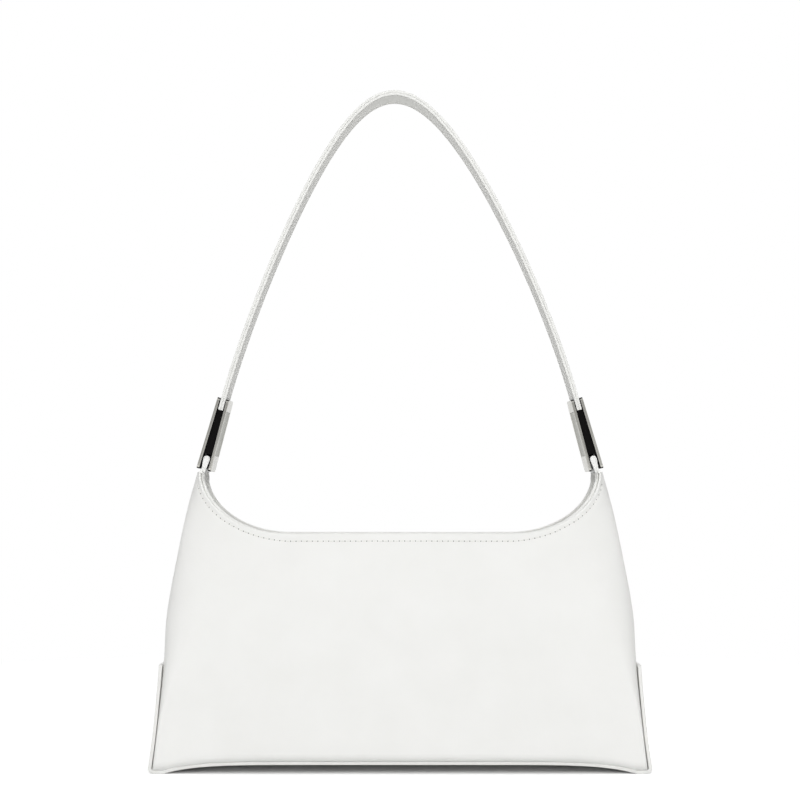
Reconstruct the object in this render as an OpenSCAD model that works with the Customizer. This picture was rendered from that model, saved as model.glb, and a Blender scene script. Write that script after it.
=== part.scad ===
// Trapezoid shoulder bag in smooth leather with one strap on two metal links.
// X runs along the bag, Y from its front to its back, Z up from the floor.

/* [Body] */
// Width of the leather body at the floor, without the turned-up ends
body_w = 277; // [230:1:330]
// Depth of the body at the floor
body_d = 80; // [64:1:100]
// Width across the two horns that carry the strap
top_w = 234; // [204:1:262]
// Depth of each horn at its tip
horn_d = 25; // [22:0.5:30]
// Height of the horn tips
horn_h = 168; // [150:1:190]
// Length of the rounded ends of the front and back, just below the rim
end_round = 60; // [45:1:66]
// How far the middle of each face swells beyond its corners
crown = 4; // [0:0.5:8]

/* [Rim] */
// Height of the straight middle of the rim
rim_h = 133; // [115:1:145]
// Length of the straight middle of the rim
rim_flat_w = 128; // [104:1:152]
// Distance of the rim's ends inside the horns' outer faces
rim_end_in = 1.7; // [1:0.1:2.2]
// Height of the leather band inside the rim
facing_h = 32; // [20:1:38]

/* [Leather] */
// Thickness of the outer leather
leather_t = 1.8; // [1.4:0.1:2.1]
// Thickness of the leather inside the rim
facing_t = 1.7; // [1.3:0.1:1.9]
// Thickness of the lining cloth
lining_t = 0.6; // [0.4:0.1:1]
// Glue line between two layers
layer_gap = 0.15; // [0.1:0.05:0.25]
// Thickness of the sewing thread
thread_d = 0.5; // [0.4:0.1:0.8]
// Distance of the rim's stitch row from the edge
stitch_in = 4.3; // [3:0.1:6]

/* [Base] */
// Thickness of the leather of the base and its turned-up ends
base_t = 1.9; // [1.5:0.1:2.5]
// Height of the turned-up ends
end_h = 59; // [40:1:75]
// Rise of the base between its two resting strips
arch_rise = 4.7; // [2:0.1:7]
// Width of each strip that stands on the floor
rest_w = 7; // [5:0.5:12]
// Radius of the base's lower outer edges
base_edge_r = 3; // [2:0.1:4]
// Thickness of the stiffening board
board_t = 1.5; // [1:0.1:2.5]

/* [Snap] */
// Diameter of each half of the magnetic snap
snap_d = 14; // [10:0.5:18]
// Thickness of the flange of each half
snap_t = 1.6; // [1:0.1:2.2]
// Diameter of the stud between the halves
stud_d = 5; // [4:0.1:6]
// Length of the stud
stud_l = 1.8; // [1:0.1:2.5]
// Depth of the snap's centre below the rim
snap_drop = 16; // [12:0.5:20]

/* [Horn bend] */
// Depth of the bending line below the horn tips
bend_drop = 13; // [11:0.5:16]
// Gap along the cut round the bending line
bend_gap = 0.6; // [0.5:0.1:1]

/* [Link] */
// Length of each metal link
link_l = 42.4; // [38:0.2:50]
// Width of the link, front to back
link_w = 26; // [22:0.5:30]
// Thickness of each plate
plate_t = 1.6; // [1.2:0.1:2]
// Radius of the plate's corners
plate_corner_r = 2; // [1:0.1:3]
// Gap between the plates at the strap
slot_top = 3.7; // [3.5:0.1:4.5]
// Gap between the plates at the leather loop
slot_bottom = 5.3; // [5.2:0.1:6]
// Width of the lug in the link that holds the middle of the pin
lug_w = 5; // [4:0.5:8]
// Radius of the lug's round end
lug_r = 1.9; // [1.7:0.1:2.1]
// Depth of the slot that holds the strap's end
strap_slot = 6.9; // [5:0.1:9]
// Depth of the slot that holds the leather loop
loop_slot = 9.4; // [9:0.1:11]
// Lean of the link towards the middle of the bag, in degrees
link_lean = 15.6; // [12:0.2:18]
// Diameter of the pin in the leather loop
pin_d = 1.8; // [1.6:0.1:2]
// Distance of the pin's ends inside the edges of the loop
pin_end_in = 0.7; // [0.3:0.1:1.5]
// Running clearance of the pin in the left loop, on the radius
pin_fit = 0.08; // [0.05:0.01:0.1]
// Clearance of the pin in the right loop, the open pivot, on the radius
open_fit = 0.35; // [0.3:0.05:0.5]
// Height of the pin above the horn tip
pin_rise = 7.4; // [7:0.1:9]
// Distance of the pin inside the horn's outer face
pin_inset = 6.1; // [5.5:0.1:7]
// Distance of the pin from the link's lower end
pin_up = 6.4; // [6:0.1:7]
// Diameter of the pin that holds the strap's end
clamp_pin_d = 2; // [1.5:0.1:2.5]
// Depth of the recess in the faces of the plates
recess_depth = 0.3; // [0.2:0.05:0.5]

/* [Tab] */
// Width of the leather tab
tab_w = 23.4; // [20:0.2:24]
// Thickness of the tab where it enters the link
neck_t = 2.8; // [2.4:0.1:3]
// Thickness of the leather of the loop
loop_t = 1.05; // [0.9:0.05:1.2]
// Length of the tab's tongue that is sewn inside the horn
tongue_l = 9; // [6:0.5:12]
// Width of the tongue
tongue_w = 12; // [8:0.5:13]
// Thickness of the tongue
tongue_t = 1.8; // [1.2:0.1:2.4]

/* [Strap] */
// Width of the strap
strap_w = 25; // [20:0.5:29]
// Thickness of the strap, both layers
strap_t = 2.9; // [2.4:0.1:3.2]
// Height of the strap's top above the floor
strap_h = 388; // [340:1:460]
// Radius of the strap's middle line at its top
strap_top_r = 21.3; // [18:0.5:26]
// How far the strap's top hangs to the left
strap_lean = 3.2; // [0:0.1:6]
// Gap between the strap and its clamped ends
strap_gap = 0.3; // [0.3:0.05:0.5]
// Length of the clamped end that stands out of the link
strap_stub = 1.6; // [1.5:0.1:2.5]
// Distance of the strap's stitch rows from its edges
strap_stitch_in = 2.2; // [1.5:0.1:3]

/* [Hidden] */
$fn = 48;

white = "#ececea";
under = "#d8d8d4";
cloth = "#c9c4ba";
steel = "#b9bbbd";
black = "#141312";

// Clearances that several pieces share
seat_gap = 0.2;
seam_gap = 0.1;
press_gap = 0.02;
overrun = 1;

// Shares of the horn's height, then of what each size changes by on the way up
width_shares = [[0, 1], [0.14, 0.89], [0.36, 0.784], [0.5, 0.782], [0.6, 0.698], [0.7, 0.562],
    [0.8, 0.41], [0.9, 0.228], [1, 0]];
depth_shares = [[0, 1], [0.36, 0.6], [0.5, 0.389], [0.6, 0.213], [0.7, 0.05], [0.79, -0.02],
    [0.9, -0.01], [1, 0]];
crown_shares = [[0, 0], [0.36, 0.5], [0.55, 0.75], [0.7, 0.2], [0.79, -0.75], [1, -0.9]];
// Of the rounded ends' length, and the corner's part of the half depth
end_shares = [[0, 0.071], [0.18, 0.15], [0.36, 0.27], [0.5, 0.42], [0.6, 0.62], [0.7, 0.87],
    [0.79, 1], [0.835, 1], [0.87, 0.92], [0.905, 0.64], [0.938, 0.385], [0.97, 0.2], [1, 0.093]];
corner_shares = [[0, 0.11], [0.18, 0.18], [0.36, 0.33], [0.5, 0.6], [0.6, 0.8], [0.7, 0.9],
    [0.79, 0.93], [1, 0.93]];
// The horn's depth as a share of the depth that the body would have there past the rim
tip_share = 0.714;

// Columns over a horn's tip, down its curve and along half the middle, and rows of the meshes
tip_steps = 4;
curve_steps = 22;
face_steps = 8;
horn_steps = 12;
panel_rows = 14;
lining_rows = 7;
band_rows = 5;
row_ease = 1.3;
strap_steps = 28;
arch_steps = 32;
arch_power = 8;
face_ease = 1.5;
search_steps = 24;
reach_steps = 14;
thread_sides = 6;
// The least length of the rounded ends on an inner surface, as a share of that outside
inner_end_share = 0.5;
// The turned-up ends stop this far into the corner, as a share of its radius
end_in_share = 0.45;
end_in_height_share = 0.35;

// Places that follow from the sizes
flat_half = rim_flat_w / 2;
rim_end = top_w / 2 - rim_end_in;
closed_d = horn_d / tip_share;
bend_z = horn_h - bend_drop;
bend_r = horn_d / 2 + leather_t + bend_gap;
bend_cut_r = bend_r + bend_gap;
face_in = leather_t + layer_gap;
wall_t = face_in + facing_t;
pin_x = top_w / 2 - pin_inset;
pin_z = horn_h + pin_rise;
link_top = link_l - pin_up;
pivot_up = link_top + strap_stub;
taper = atan((slot_bottom - slot_top) / 2 / link_l);
strap_start = strap_t / 2 + strap_gap;
end_x = pin_x - (pivot_up + strap_start) * sin(link_lean);
end_z = pin_z + (pivot_up + strap_start) * cos(link_lean);
strap_rise = strap_h - strap_t / 2 - end_z;
strap_layer = (strap_t - layer_gap) / 2;
flat_x = body_w / 2 - rest_w;
board_z = base_t + seat_gap;
floor_z = board_z + board_t + seat_gap;
floor_top = floor_z + lining_t;

// Smooth curve through a table of [share, value] pairs
function segment(table, s, i = 0) =
    (i >= len(table) - 2 || s < table[i + 1][0]) ? i : segment(table, s, i + 1);
function slope(table, i) =
    let (lo = max(i - 1, 0), hi = min(i + 1, len(table) - 1))
    (table[hi][1] - table[lo][1]) / (table[hi][0] - table[lo][0]);
function smooth(table, share) =
    let (s = min(max(share, 0), 1), i = segment(table, s))
    let (p = table[i], q = table[i + 1], w = q[0] - p[0], u = (s - p[0]) / w)
    p[1] * (2 * u * u * u - 3 * u * u + 1) + q[1] * (3 * u * u - 2 * u * u * u)
    + slope(table, i) * w * (u * u * u - 2 * u * u + u)
    + slope(table, i + 1) * w * (u * u * u - u * u);

// The body's plan at height z: half width, half depth, the corner's two sides and the swell
function half_w(z) = (top_w + (body_w - top_w) * smooth(width_shares, z / horn_h)) / 2;
function half_d(z) = (closed_d + (body_d - closed_d) * smooth(depth_shares, z / horn_h)) / 2;
function corner_w(z) = end_round * smooth(end_shares, z / horn_h);
function corner_d(z) = half_d(z) * smooth(corner_shares, z / horn_h);
function swell(z) = crown * smooth(crown_shares, z / horn_h);

// A point of the body's surface moved out by t. c runs from 0 at the middle of the left side,
// round the corner from 1 to 2 and along the front to 3 in its middle.
function corner_in(z, t) = max(corner_w(z) + t, inner_end_share * corner_w(z));
function skin(c, z, t) =
    let (a = half_w(z) + t, b = half_d(z) + t, w = corner_in(z, t), d = corner_d(z) + t)
    c <= 1 ? [-a, -(b - d) * c, z]
    : c <= 2 ? [-(a - w) - w * cos(90 * (c - 1)), -(b - d) - d * sin(90 * (c - 1)), z]
    : let (u = 1 - pow(c - 2, face_ease))
      [-(a - w) * u, -b - swell(z) * pow(1 - u * u, 2), z];
// The c at a distance x from the middle
function skin_c(x, z, t) =
    let (a = half_w(z) + t, w = corner_in(z, t))
    x > a - w ? 1 + acos(min((x - a + w) / w, 1)) / 90
    : 2 + pow(1 - x / (a - w), 1 / face_ease);

// A place [c, z] on the rim. r runs over half the left horn's tip to 1, down the curve to 2 and
// along to 3 in the middle.
function rim_place(r, t) =
    r <= 1 ? [r * skin_c(rim_end + t, horn_h, t), horn_h]
    : let (turn = 90 * max(2 - r, 0), z = rim_h + (horn_h - rim_h) * (1 - cos(turn)))
      let (x = flat_half * min(3 - r, 1) + (rim_end + t - flat_half) * sin(turn))
      [skin_c(x, z, t), z];
function rim_top(r, t) = rim_place(min(r, 6 - r), t)[1];

// The c at the floor below a place on the rim, as far along the floor as r is along the rim
tip_run = horn_d / 2;
curve_run = (rim_end - flat_half + horn_h - rim_h) * PI / 4;
side_run = half_d(0) - corner_d(0);
corner_run = (corner_w(0) + corner_d(0)) * PI / 4;
face_run = half_w(0) - corner_w(0);
function floor_c(r) =
    let (run = r < 1 ? tip_run * r : r < 2 ? tip_run + curve_run * (r - 1)
        : tip_run + curve_run + flat_half * (r - 2))
    let (s = run * (side_run + corner_run + face_run) / (tip_run + curve_run + flat_half))
    s < side_run ? s / side_run
    : s < side_run + corner_run ? 1 + (s - side_run) / corner_run
    : 2 + pow((s - side_run - corner_run) / face_run, 1 / face_ease);

// A point at the height z of the column below r. Below 0 r runs round the back, above 3 to the right.
function at(r, z, t) =
    r < 0 ? let (p = at(-r, z, t)) [p.x, -p.y, p.z]
    : r > 3 ? let (p = at(6 - r, z, t)) [-p.x, p.y, p.z]
    : let (rim = rim_place(r, t), c = floor_c(r)) skin(c + (rim[0] - c) * pow(z / rim[1], 2), z, t);

// Height of the cut round the bending line over y, and of the arched base
function bend_edge_z(y, r) = abs(y) < r ? bend_z - sqrt(r * r - y * y) : horn_h;
function arch_z(x) = abs(x) < flat_x ? arch_rise * (1 - pow(abs(x) / flat_x, arch_power)) : 0;

// Where a column meets the cut or else the rim, found by halving
function meet(r, t, cut, lo, hi, n = search_steps) =
    let (mid = (lo + hi) / 2)
    n == 0 ? mid
    : bend_edge_z(at(r, mid, t).y, cut) > mid ? meet(r, t, cut, mid, hi, n - 1)
    : meet(r, t, cut, lo, mid, n - 1);
function panel_top(r, t) = meet(r, t, bend_cut_r, rim_h / 2, rim_top(abs(r), t));
function horn_bottom(r, t) = meet(r, t, bend_r, rim_h / 2, rim_top(abs(r), t));
function base_edge_z(r) = arch_z(at(r, 0, 0).x) + base_t + seat_gap;

// The horn's last column, where the leather left above the cut is as high as it is thick
function reach(lo, hi, n) =
    let (mid = (lo + hi) / 2)
    n == 0 ? lo
    : min([for (t = [0, -wall_t]) rim_top(mid, t) - horn_bottom(mid, t)]) > leather_t
        ? reach(mid, hi, n - 1)
    : reach(lo, mid, n - 1);
horn_end = reach(1, 2, reach_steps);

// Columns from the left side's seam to the right side's seam, and over a horn
first_r = seam_gap / 4 / (half_d(horn_h) - corner_d(horn_h));
half_rs = concat(
    [first_r], [for (i = [1:tip_steps]) i / tip_steps],
    [for (i = [1:curve_steps]) 1 + i / curve_steps],
    [for (i = [1:face_steps]) 2 + i / face_steps]);
front_rs = concat(half_rs, [for (i = [len(half_rs) - 2:-1:0]) 6 - half_rs[i]]);
horn_half_rs = concat(
    [for (i = [1:tip_steps]) i / tip_steps],
    [for (i = [1:horn_steps]) 1 + (horn_end - 1) * i / horn_steps]);
horn_rs = concat([for (i = [len(horn_half_rs) - 1:-1:0]) -horn_half_rs[i]], [0], horn_half_rs);

// Solid between rings of points, each ring a closed loop with as many points
module rings_solid(rings) {
    n = len(rings[0]);
    m = len(rings);
    h = n / 2;
    sides = [for (i = [0:m - 2], j = [0:n - 1]) let (k = (j + 1) % n, a = i * n, b = a + n)
        each [[a + j, b + j, b + k], [a + j, b + k, a + k]]];
    z = (m - 1) * n;
    caps = [for (j = [0:h - 2]) each [
        [j, j + 1, n - 2 - j], [j, n - 2 - j, n - 1 - j],
        [z + j, z + n - 2 - j, z + j + 1], [z + j, z + n - 1 - j, z + n - 2 - j]]];
    polyhedron(points = [for (r = rings) each r], faces = concat(sides, caps), convexity = 10);
}

// One column of a layer between the offsets outer and inner
function row_share(i, rows) = 1 - pow(1 - i / rows, row_ease);
function layer_ring(r, outer, inner, lows, highs, rows) = concat(
    [for (i = [0:rows]) at(r, lows[1] + (highs[1] - lows[1]) * row_share(i, rows), inner)],
    [for (i = [rows:-1:0]) at(r, lows[0] + (highs[0] - lows[0]) * row_share(i, rows), outer)]);

// A thin tube through points, on the side of each point's normal
function unit(v) = v / norm(v);
function tube_rings(points, normals, r) = [for (i = [0:len(points) - 1])
    let (d = unit(points[min(i + 1, len(points) - 1)] - points[max(i - 1, 0)]))
    let (side = unit(cross(d, normals[i])), up = cross(side, d))
    [for (k = [0:thread_sides - 1]) let (a = 360 * (k + 0.5) / thread_sides)
        points[i] + r * (cos(a) * up + sin(a) * side)]];

// Body
module panel_shell() {
    rings_solid([for (r = front_rs)
        layer_ring(r, 0, -leather_t, [base_edge_z(r), base_edge_z(r)],
            [panel_top(r, 0), panel_top(r, -leather_t)], panel_rows)]);
}
module facing_shell() {
    rings_solid([for (r = front_rs) let (top = panel_top(r, -face_in))
        layer_ring(r, -face_in, -wall_t, [top - facing_h, top - facing_h],
            [top, panel_top(r, -wall_t)], band_rows)]);
}
module lining_shell() {
    outer = -face_in - seat_gap;
    rings_solid([for (r = front_rs) let (top = panel_top(r, -face_in) - facing_h - seat_gap)
        let (low = arch_z(at(r, 0, 0).x) + floor_top + seat_gap)
        layer_ring(r, outer, outer - lining_t, [low, low], [top, top], lining_rows)]);
}
// The stitch row's point below a place on the rim
function stitch_at(r, t) =
    r > 3 ? let (p = stitch_at(6 - r, t)) [-p.x, p.y, p.z]
    : let (turn = 90 * max(2 - r, 0), across = (horn_h - rim_h) * sin(turn))
      let (up = (rim_end - flat_half) * cos(turn), n = norm([across, up]))
      let (z = rim_top(r, 0) - stitch_in * up / n)
      let (x = flat_half * min(3 - r, 1) + (rim_end - flat_half) * sin(turn) + stitch_in * across / n)
      skin(skin_c(x, z, 0), z, t);
module rim_thread() {
    points = [for (r = front_rs) if (min(r, 6 - r) > 1) let (p = stitch_at(r, thread_d / 2 + seat_gap))
        if (p.z < bend_edge_z(p.y, bend_cut_r + thread_d)) p];
    rings_solid(tube_rings(points, [for (p = points) [0, -1, 0]], thread_d / 2));
}
module front_panel() { color(white) panel_shell(); }
module back_panel() { color(white) mirror([0, 1, 0]) panel_shell(); }
module front_facing() { color(under) facing_shell(); }
module back_facing() { color(under) mirror([0, 1, 0]) facing_shell(); }
module front_lining() { color(cloth) lining_shell(); }
module back_lining() { color(cloth) mirror([0, 1, 0]) lining_shell(); }
module front_rim_thread() { color(white) rim_thread(); }
module back_rim_thread() { color(white) mirror([0, 1, 0]) rim_thread(); }

// Base: a strip of leather under the bag whose ends turn up outside the body
base_xs = [for (i = [-arch_steps:arch_steps]) flat_x * i / arch_steps];
function end_face_x(z, t) = half_w(z) + seat_gap + t;
module base_outline() {
    zs = [for (i = [1:arch_steps]) base_edge_r + (end_h - base_edge_r) * i / arch_steps];
    foot_x = end_face_x(base_edge_r, base_t) - base_edge_r;
    bend = [for (a = [0:15:90]) [foot_x + base_edge_r * sin(a), base_edge_r * (1 - cos(a))]];
    outer = concat(bend, [for (z = zs) [end_face_x(z, base_t), z]]);
    inner = concat([for (i = [len(zs) - 1:-1:0]) [end_face_x(zs[i], 0), zs[i]]],
        [[end_face_x(base_t, 0), base_t]]);
    right = concat(outer, inner);
    upper = [for (i = [len(base_xs) - 1:-1:0]) [base_xs[i], arch_z(base_xs[i]) + base_t]];
    left = [for (i = [len(right) - 1:-1:0]) [-right[i].x, right[i].y]];
    lower = [for (x = base_xs) [x, arch_z(x)]];
    polygon(concat(lower, right, upper, left));
}
module end_taper() {
    zs = [for (i = [0:arch_steps]) end_h * i / arch_steps];
    edge = [for (z = zs) [half_d(z) - end_in_share * corner_d(z)
        * min(1, z / (end_h * end_in_height_share)), z]];
    polygon(concat([[-body_d / 2, -overrun], [body_d / 2, -overrun]], edge,
        [for (i = [len(edge) - 1:-1:0]) [-edge[i].x, edge[i].y]]));
}
module base_panel() {
    color(white) intersection() {
        rotate([90, 0, 0]) linear_extrude(body_d, center = true) base_outline();
        rotate([90, 0, 90]) linear_extrude(2 * body_w, center = true) end_taper();
    }
}

// Flat layers that follow the arch inside the body
module arched_layer(z, t, w, d) {
    xs = [for (i = [-arch_steps:arch_steps]) w / 2 * i / arch_steps];
    rotate([90, 0, 0]) linear_extrude(d, center = true) polygon(concat(
        [for (x = xs) [x, arch_z(x) + z]],
        [for (i = [len(xs) - 1:-1:0]) [xs[i], arch_z(xs[i]) + z + t]]));
}
inside_w = 2 * (half_w(0) - corner_w(0) - lining_t);
inside_d = 2 * (half_d(floor_top + arch_rise) - face_in - lining_t - 2 * seat_gap);
module base_board() { color("#8a8377") arched_layer(board_z, board_t, inside_w, inside_d); }
module floor_lining() { color(cloth) arched_layer(floor_z, lining_t, inside_w, inside_d); }

// Magnetic snap on the facings, set along the slope of the face
snap_z = rim_h - snap_drop;
function face_y(z) = -half_d(z) - swell(z) + wall_t;
snap_tilt = atan((face_y(snap_z + snap_d / 2) - face_y(snap_z - snap_d / 2)) / snap_d);
module snap_place() {
    translate([0, face_y(snap_z), snap_z]) rotate([-90 - snap_tilt, 0, 0])
        translate([0, 0, seat_gap]) children();
}
module snap_stud() {
    color(steel) snap_place() {
        cylinder(h = snap_t, d = snap_d);
        cylinder(h = snap_t + stud_l, d = stud_d);
    }
}
module snap_socket() {
    color(steel) mirror([0, 1, 0]) snap_place() difference() {
        cylinder(h = snap_t + stud_l, d = snap_d);
        translate([0, 0, snap_t]) cylinder(h = stud_l + overrun, d = stud_d + 2 * seat_gap);
    }
}

// Horn: the leather above the bending line, both layers in one, cut off below the tab
tab_z = horn_h - pin_rise / 2;
module horn() {
    rings_solid([for (r = horn_rs)
        layer_ring(r, 0, -wall_t, [horn_bottom(r, 0), horn_bottom(r, -wall_t)],
            [min(rim_top(abs(r), 0), tab_z), min(rim_top(abs(r), -wall_t), tab_z)], band_rows)]);
}
module left_horn() { color(white) horn(); }
module right_horn() { color(white) mirror([1, 0, 0]) horn(); }

// Places a piece on the left link, whose X points outwards and whose Z runs up from the pin
module on_link() {
    translate([-pin_x, 0, pin_z]) rotate([0, link_lean, 0]) mirror([1, 0, 0]) children();
}

// Tab: a loop of leather round the pin, notched for the lug, with a tongue sewn inside the horn
loop_r = pin_d / 2 + pin_fit + loop_t;
across = [cos(link_lean), -sin(link_lean)];
pin_at = [-pin_x, pin_z];
neck_at = pin_at - pin_up * [sin(link_lean), cos(link_lean)];
// Distance from the middle of the horn's inner face, at the tongue's edges
function tongue_x(z) =
    let (w = corner_in(z, -wall_t), d = corner_d(z) - wall_t)
    let (s = max(tongue_w / 2 - half_d(z) + wall_t + d, 0) / d)
    half_w(z) - wall_t - w * (1 - sqrt(1 - s * s));
module tab(fit) {
    z0 = tab_z - tongue_l;
    z1 = tab_z + seat_gap;
    foot = [2 * seat_gap - tongue_x(z0), z0];
    heel = [2 * seat_gap - tongue_x(z1), z1];
    outer_x = rim_end_in - half_w(z1);
    difference() {
        union() {
            rotate([90, 0, 0]) linear_extrude(tab_w, center = true) polygon([
                [outer_x, z1], neck_at - across * neck_t / 2, pin_at - across * loop_r,
                pin_at + across * loop_r, neck_at + across * neck_t / 2, [outer_x + wall_t, z1]]);
            rotate([90, 0, 0]) linear_extrude(tongue_w, center = true) polygon([
                foot, heel, neck_at, neck_at + across * neck_t / 2,
                heel + [tongue_t, 0], foot + [tongue_t, 0]]);
            on_link() rotate([90, 0, 0]) cylinder(h = tab_w, r = loop_r, center = true);
        }
        on_link() rotate([90, 0, 0])
            cylinder(h = tab_w + 2 * overrun, r = pin_d / 2 + fit, center = true);
        on_link() translate([-slot_bottom / 2, -lug_w / 2 - open_fit, -lug_r - open_fit])
            cube([slot_bottom, lug_w + 2 * open_fit, lug_r + open_fit + loop_r + overrun]);
    }
}
module left_tab() { color(white) tab(pin_fit); }
module right_tab() { color(white) mirror([1, 0, 0]) tab(open_fit); }

// Link: two plates that open downwards, a dark core between them and two pins
module plate_blank(recessed) {
    difference() {
        rotate([0, -90, 180]) linear_extrude(plate_t) difference() {
            translate([-pin_up, -link_w / 2]) square([link_l, link_w]);
            for (u = [0, 1], v = [-1, 1])
                translate([-pin_up + u * link_l, v * link_w / 2]) difference() {
                    square(2 * plate_corner_r, center = true);
                    translate([(u == 0 ? 1 : -1) * plate_corner_r, -v * plate_corner_r])
                        circle(plate_corner_r);
                }
        }
        if (recessed)
            translate([plate_t - recess_depth, -link_w / 2 + plate_corner_r, loop_slot - pin_up])
                cube([plate_t, link_w - 2 * plate_corner_r, link_l - loop_slot - strap_slot]);
    }
}
// The slot's half width at a height above the pin
function slot_half(z) = (slot_bottom - (slot_bottom - slot_top) * (z + pin_up) / link_l) / 2;
module plate() {
    translate([slot_half(0), 0, 0]) rotate([0, -taper, 0]) plate_blank(true);
}
core_low = loop_slot - pin_up;
core_high = link_top - strap_slot;
module core() {
    low = slot_half(core_low) - layer_gap / 2;
    high = slot_half(core_high) - layer_gap / 2;
    difference() {
        union() {
            rotate([90, 0, 0]) linear_extrude(link_w - plate_corner_r, center = true)
                polygon([[-low, core_low], [low, core_low], [high, core_high], [-high, core_high]]);
            translate([-lug_r, -lug_w / 2, 0]) cube([2 * lug_r, lug_w, core_low + overrun]);
            rotate([90, 0, 0]) cylinder(h = lug_w, r = lug_r, center = true);
        }
        rotate([90, 0, 0])
            cylinder(h = lug_w + overrun, r = pin_d / 2 + press_gap, center = true);
    }
}
module loop_pin() {
    rotate([90, 0, 0]) cylinder(h = tab_w - 2 * pin_end_in, d = pin_d, center = true);
}
clamp_z = link_top - strap_slot / 2;
module clamp_pin() {
    translate([0, 0, clamp_z]) rotate([0, 90, 0])
        cylinder(h = 2 * (slot_half(clamp_z) - layer_gap), d = clamp_pin_d, center = true);
}
module strap_end() {
    difference() {
        union() {
            translate([-strap_t / 2, -strap_w / 2, core_high + layer_gap])
                cube([strap_t, strap_w, pivot_up - core_high - layer_gap]);
            translate([0, 0, pivot_up]) rotate([90, 0, 0])
                cylinder(h = strap_w, d = strap_t, center = true);
        }
        translate([0, 0, clamp_z]) rotate([0, 90, 0])
            cylinder(h = 2 * strap_t, d = clamp_pin_d + layer_gap, center = true);
    }
}
module left_outer_plate() { color(steel) on_link() plate(); }
module left_inner_plate() { color(steel) on_link() mirror([1, 0, 0]) plate(); }
module left_core() { color(black) on_link() core(); }
module left_pin() { color(steel) on_link() loop_pin(); }
module left_clamp_pin() { color(steel) on_link() clamp_pin(); }
module left_strap_end() { color(white) on_link() strap_end(); }
module right_outer_plate() { color(steel) mirror([1, 0, 0]) on_link() plate(); }
module right_inner_plate() { color(steel) mirror([1, 0, 0]) on_link() mirror([1, 0, 0]) plate(); }
module right_core() { color(black) mirror([1, 0, 0]) on_link() core(); }
module right_pin() { color(steel) mirror([1, 0, 0]) on_link() loop_pin(); }
module right_clamp_pin() { color(steel) mirror([1, 0, 0]) on_link() clamp_pin(); }
module right_strap_end() { color(white) mirror([1, 0, 0]) on_link() strap_end(); }

// Strap: its middle line is q from -1 to 1, close to a parabola with a round top
function strap_half(q) =
    let (first = 2 * strap_top_r * strap_rise, rest = end_x * end_x - first)
    q * sqrt(first + rest * q * q * (1.5 - 0.5 * pow(q, 4)));
function strap_mid(q) =
    [strap_half(q) - strap_lean * pow(1 - q * q, 2), 0, end_z + strap_rise * (1 - q * q)];
strap_dq = 1 / (8 * strap_steps);
function strap_out(q) =
    let (d = unit(strap_mid(q + strap_dq) - strap_mid(q - strap_dq))) [-d.z, 0, d.x];
strap_qs = [for (i = [-strap_steps:strap_steps]) i / strap_steps];
module strap_band(low, high) {
    rings_solid([for (q = strap_qs) let (p = strap_mid(q), n = strap_out(q)) [
        p + n * low - [0, strap_w / 2, 0], p + n * low + [0, strap_w / 2, 0],
        p + n * high + [0, strap_w / 2, 0], p + n * high - [0, strap_w / 2, 0]]]);
}
module strap_outer() { color(white) strap_band(strap_t / 2 - strap_layer, strap_t / 2); }
module strap_lining() { color(under) strap_band(-strap_t / 2, strap_layer - strap_t / 2); }
module strap_threads() {
    lift = strap_t / 2 + thread_d / 2 + layer_gap / 2;
    inside = [for (i = [1:len(strap_qs) - 2]) strap_qs[i]];
    color(white) for (side = [-1, 1])
        rings_solid(tube_rings(
            [for (q = inside) strap_mid(q) + lift * strap_out(q)
                + [0, side * (strap_w / 2 - strap_stitch_in), 0]],
            [for (q = inside) strap_out(q)], thread_d / 2));
}

front_panel();
back_panel();
base_panel();
base_board();
front_facing();
back_facing();
front_lining();
back_lining();
floor_lining();
snap_stud();
snap_socket();
front_rim_thread();
back_rim_thread();
left_horn();
right_horn();
left_tab();
right_tab();
left_outer_plate();
right_outer_plate();
left_inner_plate();
right_inner_plate();
left_core();
right_core();
left_pin();
right_pin();
left_clamp_pin();
right_clamp_pin();
left_strap_end();
right_strap_end();
strap_outer();
strap_lining();
strap_threads();
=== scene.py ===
import math

import bmesh
import bpy
from mathutils import Matrix, Vector, kdtree, noise


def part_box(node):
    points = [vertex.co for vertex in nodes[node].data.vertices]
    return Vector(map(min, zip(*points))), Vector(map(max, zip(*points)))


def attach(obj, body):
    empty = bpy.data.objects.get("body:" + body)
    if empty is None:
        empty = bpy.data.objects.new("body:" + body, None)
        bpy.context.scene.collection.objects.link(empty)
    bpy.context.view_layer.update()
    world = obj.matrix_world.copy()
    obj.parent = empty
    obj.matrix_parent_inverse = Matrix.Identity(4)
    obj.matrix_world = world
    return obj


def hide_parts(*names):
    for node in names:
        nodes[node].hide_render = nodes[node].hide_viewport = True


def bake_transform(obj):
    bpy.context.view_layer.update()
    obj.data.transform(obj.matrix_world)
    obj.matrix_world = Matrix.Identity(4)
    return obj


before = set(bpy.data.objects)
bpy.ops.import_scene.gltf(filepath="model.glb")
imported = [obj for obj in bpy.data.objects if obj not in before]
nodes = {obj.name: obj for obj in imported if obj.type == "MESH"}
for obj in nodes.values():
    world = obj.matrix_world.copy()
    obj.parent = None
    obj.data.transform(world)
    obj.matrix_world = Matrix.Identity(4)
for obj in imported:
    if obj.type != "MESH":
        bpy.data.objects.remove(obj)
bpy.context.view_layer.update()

mm = 0.001
scene = bpy.context.scene
print("frame loaded")

# Camera: level with the bag's upper half, a little over a metre in front
camera = {"distance": 1.0594, "height": 0.1605, "pitch": 1.413, "lens": 82.21, "shift": 0.05}


def makeCamera():
    data = bpy.data.cameras.new("camera")
    data.lens = camera["lens"]
    data.sensor_width = 36
    data.shift_y = camera["shift"]
    obj = bpy.data.objects.new("camera", data)
    obj.location = (0, -camera["distance"], camera["height"])
    obj.rotation_euler = (math.radians(90 + camera["pitch"]), 0, 0)
    scene.collection.objects.link(obj)
    scene.camera = obj


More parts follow.
